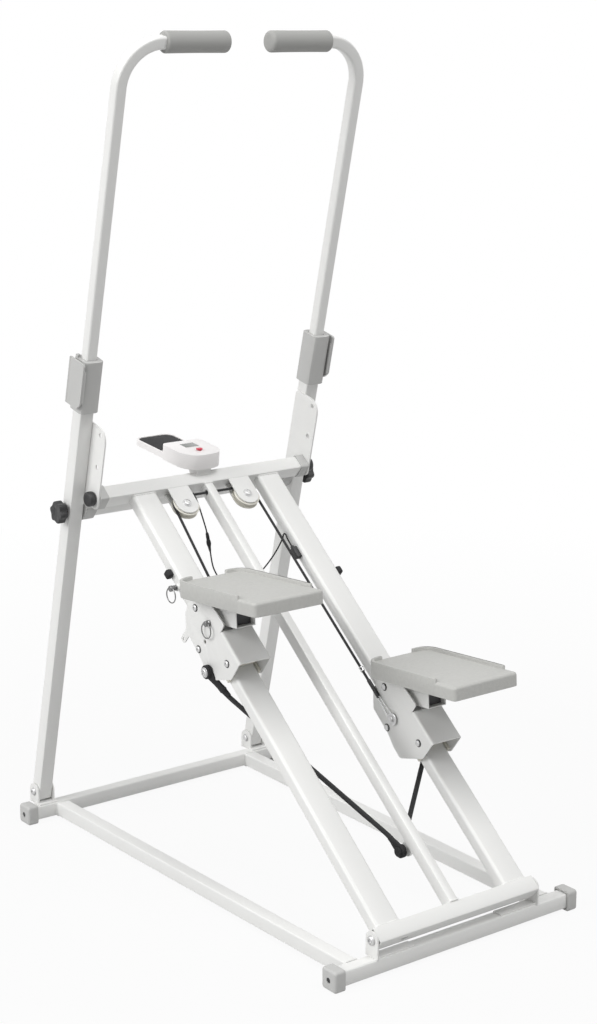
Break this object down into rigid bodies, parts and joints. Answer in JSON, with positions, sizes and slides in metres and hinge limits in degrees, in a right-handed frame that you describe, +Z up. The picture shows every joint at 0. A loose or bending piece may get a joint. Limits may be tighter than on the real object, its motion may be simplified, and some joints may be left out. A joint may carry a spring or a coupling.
{
  "type": "stair climber",
  "caption": "Folding stair climber with pedal carriages that ride sloping rails, linked by a rope, on a floor frame with telescoping handles.",
  "frame": {"origin": "on the floor, on the centre plane, midway between the rearmost and foremost points", "axes": "+X to the user's right, +Y the way the user faces, +Z up"},
  "size_m": [0.594, 0.9365, 1.458],
  "materials": {
    "white_paint": "semi-gloss white powder coat",
    "grey_plastic": "fine grain, mid grey",
    "pedal_plastic": "moulded, light grey",
    "foam": "soft closed foam",
    "black_plastic": "satin black",
    "black_rubber": "matt black",
    "black_rope": "braided black",
    "steel": "bright zinc",
    "white_plastic": "satin white",
    "red_plastic": "satin red",
    "nylon": "off-white nylon"
  },
  "bodies": {
    "base": {"front_beam": "white_paint", "rear_beam": "white_paint", "side_tube_left": "white_paint", "side_tube_right": "white_paint", "end_cap_front_left": "grey_plastic", "end_cap_front_right": "grey_plastic", "end_cap_rear_left": "grey_plastic", "end_cap_rear_right": "grey_plastic", "rear_pivot_shaft": "steel", "post_hinge_bolt_left": "steel", "post_hinge_bolt_right": "steel"},
    "rail_frame": {"rail_left": "white_paint", "rail_right": "white_paint", "centre_strut": "white_paint", "pivot_tube": "white_paint", "top_beam": "white_paint", "beam_sleeve_left": "grey_plastic", "beam_sleeve_right": "grey_plastic", "lower_crossbar": "white_paint", "crossbar_sleeve_left": "grey_plastic", "crossbar_sleeve_right": "grey_plastic", "monitor_housing": "white_plastic", "bumper_left": "black_rubber", "bumper_right": "black_rubber", "drive_rope": "black_rope", "resistance_band_left": "black_rubber", "resistance_band_right": "black_rubber", "count_sensor": "black_plastic", "sensor_cable": "black_plastic"},
    "post_left": {"post_left": "white_paint", "clamp_body_left": "grey_plastic"},
    "post_right": {"post_right": "white_paint", "clamp_body_right": "grey_plastic"},
    "handle_left": {"handle_left": "white_paint", "grip_left": "foam"},
    "handle_right": {"handle_right": "white_paint", "grip_right": "foam"},
    "lever_left": {"clamp_lever_left": "grey_plastic"},
    "lever_right": {"clamp_lever_right": "grey_plastic"},
    "star_knob_left": {"star_knob_left": "black_plastic"},
    "star_knob_right": {"star_knob_right": "black_plastic"},
    "slope_knob_left": {"slope_knob_left": "black_plastic"},
    "slope_knob_right": {"slope_knob_right": "black_plastic"},
    "button": {"monitor_button": "red_plastic"},
    "pulley_left": {"pulley_left": "grey_plastic"},
    "pulley_right": {"pulley_right": "grey_plastic"},
    "plunger_left": {"rail_plunger_left": "steel"},
    "carriage_left": {"carriage_left": "white_paint"},
    "carriage_right": {"carriage_right": "white_paint"},
    "roller_upper_left": {"roller_upper_left": "nylon"},
    "roller_upper_right": {"roller_upper_right": "nylon"},
    "roller_lower_left": {"roller_lower_left": "nylon"},
    "roller_lower_right": {"roller_lower_right": "nylon"},
    "pull_pin_left": {"pull_pin_left": "steel"},
    "pull_pin_right": {"pull_pin_right": "steel"},
    "pedal_left": {"pedal_arm_left": "white_paint", "pedal_left": "pedal_plastic"},
    "pedal_right": {"pedal_arm_right": "white_paint", "pedal_right": "pedal_plastic"}
  },
  "joints": [
    {"name": "rail_pivot", "type": "hinge", "parent": "base", "child": "rail_frame", "pos_m": [0, -0.44883, 0.0603], "axis": [1, 0, 0], "range_deg": [-33, 8.2]},
    {"name": "post_pivot_left", "type": "hinge", "parent": "base", "child": "post_left", "pos_m": [-0.2478, 0.45213, 0.0524], "axis": [1, 0, 0], "range_deg": [0, 71.3]},
    {"name": "post_pivot_right", "type": "hinge", "parent": "base", "child": "post_right", "pos_m": [0.2478, 0.45213, 0.0524], "axis": [1, 0, 0], "range_deg": [0, 71.3]},
    {"name": "handle_slide_left", "type": "slide", "parent": "post_left", "child": "handle_left", "axis": [0, -0.2374, 0.9714], "range_m": [-0.1, 0.05]},
    {"name": "handle_slide_right", "type": "slide", "parent": "post_right", "child": "handle_right", "axis": [0, -0.2374, 0.9714], "range_m": [-0.1, 0.05]},
    {"name": "clamp_lever_left", "type": "hinge", "parent": "post_left", "child": "lever_left", "pos_m": [-0.271, 0.47155, 0.05715], "axis": [0, 0.2374, -0.9714], "range_deg": [0, 110]},
    {"name": "clamp_lever_right", "type": "hinge", "parent": "post_right", "child": "lever_right", "pos_m": [0.271, 0.47155, 0.05715], "axis": [0, -0.2374, 0.9714], "range_deg": [0, 110]},
    {"name": "star_knob_left", "type": "hinge", "parent": "post_left", "child": "star_knob_left", "pos_m": [-0.2756, 0.31205, 0.62553], "axis": [1, 0, 0], "continuous": true},
    {"name": "star_knob_right", "type": "hinge", "parent": "post_right", "child": "star_knob_right", "pos_m": [0.2756, 0.31205, 0.62553], "axis": [1, 0, 0], "continuous": true},
    {"name": "slope_knob_left", "type": "slide", "parent": "post_left", "child": "slope_knob_left", "axis": [-1, 0, 0], "range_m": [0, 0.01], "stiffness_N_per_m": 400, "springref_m": -0.005},
    {"name": "slope_knob_right", "type": "slide", "parent": "post_right", "child": "slope_knob_right", "axis": [1, 0, 0], "range_m": [0, 0.01], "stiffness_N_per_m": 400, "springref_m": -0.005},
    {"name": "monitor_button", "type": "slide", "parent": "rail_frame", "child": "button", "axis": [0, 0.1097, -0.994], "range_m": [0, 0.0011], "stiffness_N_per_m": 300, "springref_m": -0.003},
    {"name": "pulley_left", "type": "hinge", "parent": "rail_frame", "child": "pulley_left", "pos_m": [-0.067, 0.22062, 0.62377], "axis": [0, -0.6396, 0.7687], "continuous": true},
    {"name": "pulley_right", "type": "hinge", "parent": "rail_frame", "child": "pulley_right", "pos_m": [0.067, 0.22062, 0.62377], "axis": [0, -0.6396, 0.7687], "continuous": true},
    {"name": "rail_plunger_left", "type": "slide", "parent": "rail_frame", "child": "plunger_left", "axis": [-1, 0, 0], "range_m": [0, 0.008], "stiffness_N_per_m": 400, "springref_m": -0.004},
    {"name": "carriage_slide_left", "type": "slide", "parent": "rail_frame", "child": "carriage_left", "axis": [0, 0.7687, 0.6396], "range_m": [-0.234, 0.01], "deforming": ["drive_rope", "resistance_band_left"]},
    {"name": "carriage_slide_right", "type": "slide", "parent": "rail_frame", "child": "carriage_right", "axis": [0, 0.7687, 0.6396], "range_m": [-0.01, 0.234], "deforming": ["drive_rope", "resistance_band_right"]},
    {"name": "roller_upper_left", "type": "hinge", "parent": "carriage_left", "child": "roller_upper_left", "pos_m": [-0.137, -0.05252, 0.41577], "axis": [1, 0, 0], "continuous": true},
    {"name": "roller_upper_right", "type": "hinge", "parent": "carriage_right", "child": "roller_upper_right", "pos_m": [0.137, -0.23271, 0.26586], "axis": [1, 0, 0], "continuous": true},
    {"name": "roller_lower_left", "type": "hinge", "parent": "carriage_left", "child": "roller_lower_left", "pos_m": [-0.137, 0.03173, 0.42083], "axis": [1, 0, 0], "continuous": true},
    {"name": "roller_lower_right", "type": "hinge", "parent": "carriage_right", "child": "roller_lower_right", "pos_m": [0.137, -0.14846, 0.27091], "axis": [1, 0, 0], "continuous": true},
    {"name": "pull_pin_left", "type": "slide", "parent": "carriage_left", "child": "pull_pin_left", "axis": [-1, 0, 0], "range_m": [0, 0.01], "stiffness_N_per_m": 400, "springref_m": -0.004},
    {"name": "pull_pin_right", "type": "slide", "parent": "carriage_right", "child": "pull_pin_right", "axis": [1, 0, 0], "range_m": [0, 0.01], "stiffness_N_per_m": 400, "springref_m": -0.004},
    {"name": "pedal_tilt_left", "type": "hinge", "parent": "carriage_left", "child": "pedal_left", "pos_m": [-0.137, 0.04068, 0.49293], "axis": [1, 0, 0], "range_deg": [-6, 3]},
    {"name": "pedal_tilt_right", "type": "hinge", "parent": "carriage_right", "child": "pedal_right", "pos_m": [0.137, -0.13951, 0.34302], "axis": [1, 0, 0], "range_deg": [-6, 3]}
  ],
  "couplings": [
    {"joint": "carriage_slide_right", "follows": "carriage_slide_left", "ratio": -1},
    {"joint": "pulley_left", "follows": "carriage_slide_left", "rad_per_m": -45.455},
    {"joint": "pulley_right", "follows": "carriage_slide_left", "rad_per_m": -45.455},
    {"joint": "roller_upper_left", "follows": "carriage_slide_left", "rad_per_m": -117.65},
    {"joint": "roller_lower_left", "follows": "carriage_slide_left", "rad_per_m": 64.516},
    {"joint": "roller_upper_right", "follows": "carriage_slide_left", "rad_per_m": 117.65},
    {"joint": "roller_lower_right", "follows": "carriage_slide_left", "rad_per_m": -64.516}
  ]
}
